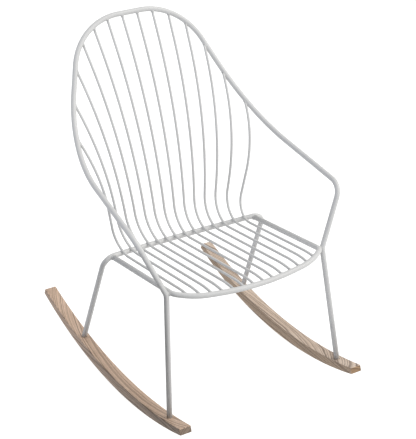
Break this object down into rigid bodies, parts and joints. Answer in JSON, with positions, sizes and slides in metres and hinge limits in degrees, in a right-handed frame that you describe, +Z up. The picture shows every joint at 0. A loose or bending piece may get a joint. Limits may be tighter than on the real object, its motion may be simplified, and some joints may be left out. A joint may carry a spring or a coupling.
{
  "type": "rocking chair",
  "caption": "Rocking chair of bent steel bar: a hoop back with arms, fanned wire rods for seat and back, and curved wooden rockers.",
  "frame": {"origin": "on the floor, mid-way between the two places where the rockers touch it when the empty chair is at rest", "axes": "+Z up, the sitter faces -Y, +X is the right as seen from in front of the chair (the sitter's left hand); left and right in the piece names are as seen from in front"},
  "size_m": [0.6974, 0.9007, 0.9825],
  "materials": {
    "powder_coated_steel": "satin powder coat, warm light grey-white",
    "ash": "lightly oiled open-grain ash",
    "zinc_steel": "zinc plated"
  },
  "bodies": {
    "root": {"hoop_frame": "powder_coated_steel", "rear_frame": "powder_coated_steel", "seat_frame": "powder_coated_steel", "rod_01": "powder_coated_steel", "rod_02": "powder_coated_steel", "rod_03": "powder_coated_steel", "rod_04": "powder_coated_steel", "rod_05": "powder_coated_steel", "rod_06": "powder_coated_steel", "rod_07": "powder_coated_steel", "rod_08": "powder_coated_steel", "rod_09": "powder_coated_steel", "rod_10": "powder_coated_steel", "rod_11": "powder_coated_steel", "rod_12": "powder_coated_steel", "rod_13": "powder_coated_steel", "rod_14": "powder_coated_steel", "rocker_left": "ash", "rocker_right": "ash", "foot_screws": "zinc_steel", "foot_washers": "zinc_steel"}
  },
  "joints": []
}
